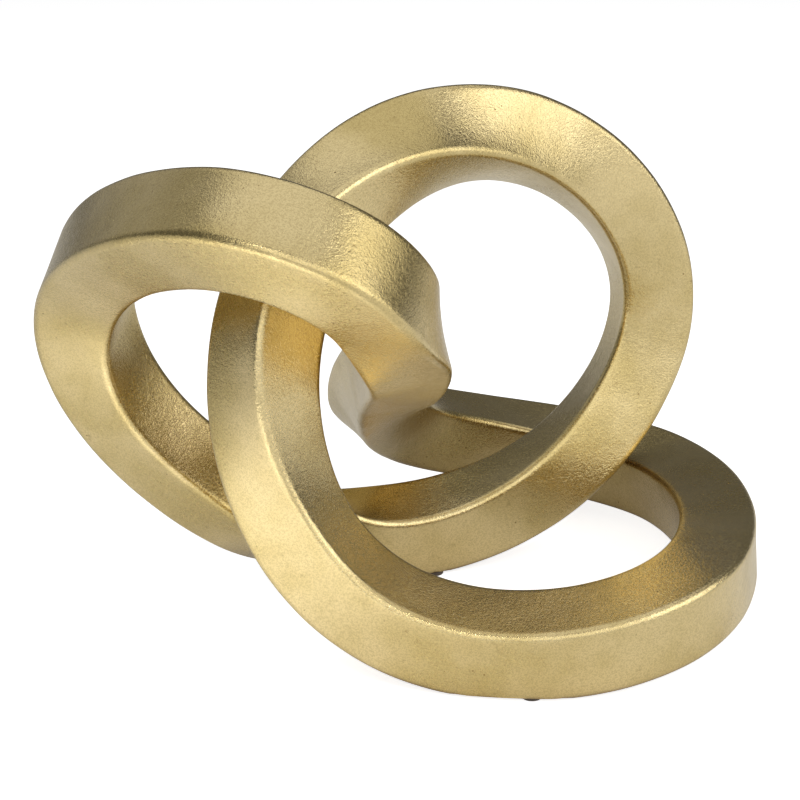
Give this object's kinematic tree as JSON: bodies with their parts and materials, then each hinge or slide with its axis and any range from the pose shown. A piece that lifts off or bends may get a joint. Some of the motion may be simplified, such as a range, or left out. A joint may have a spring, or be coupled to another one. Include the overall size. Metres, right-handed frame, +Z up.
{
  "type": "knot sculpture",
  "caption": "Desk sculpture of square satin brass bar in a closed overhand knot with loops to the left, right and top, resting on ground flats with felt pads.",
  "frame": {"origin": "on the surface that the sculpture stands on, under the middle of its overall box", "axes": "+Z up, +X to the right loop as the viewer in front sees it, +Y away from the viewer"},
  "size_m": [0.1853, 0.162, 0.135],
  "materials": {
    "satin_brass": "satin, hand rubbed, fine scratches",
    "weld_brass": "dressed flush, satin",
    "dowel_brass": "drawn bar",
    "key_steel": "ground",
    "felt": "pressed felt"
  },
  "bodies": {
    "root": {"left_loop": "satin_brass", "right_loop": "satin_brass", "top_loop": "satin_brass", "weld_left_to_right": "weld_brass", "weld_right_to_top": "weld_brass", "weld_top_to_left": "weld_brass", "dowel_left_to_right": "dowel_brass", "dowel_right_to_top": "dowel_brass", "dowel_top_to_left": "dowel_brass", "key_pin_left_to_right": "key_steel", "key_pin_right_to_top": "key_steel", "key_pin_top_to_left": "key_steel", "front_pad": "felt", "rear_right_pad": "felt", "rear_left_pad": "felt"}
  },
  "joints": []
}
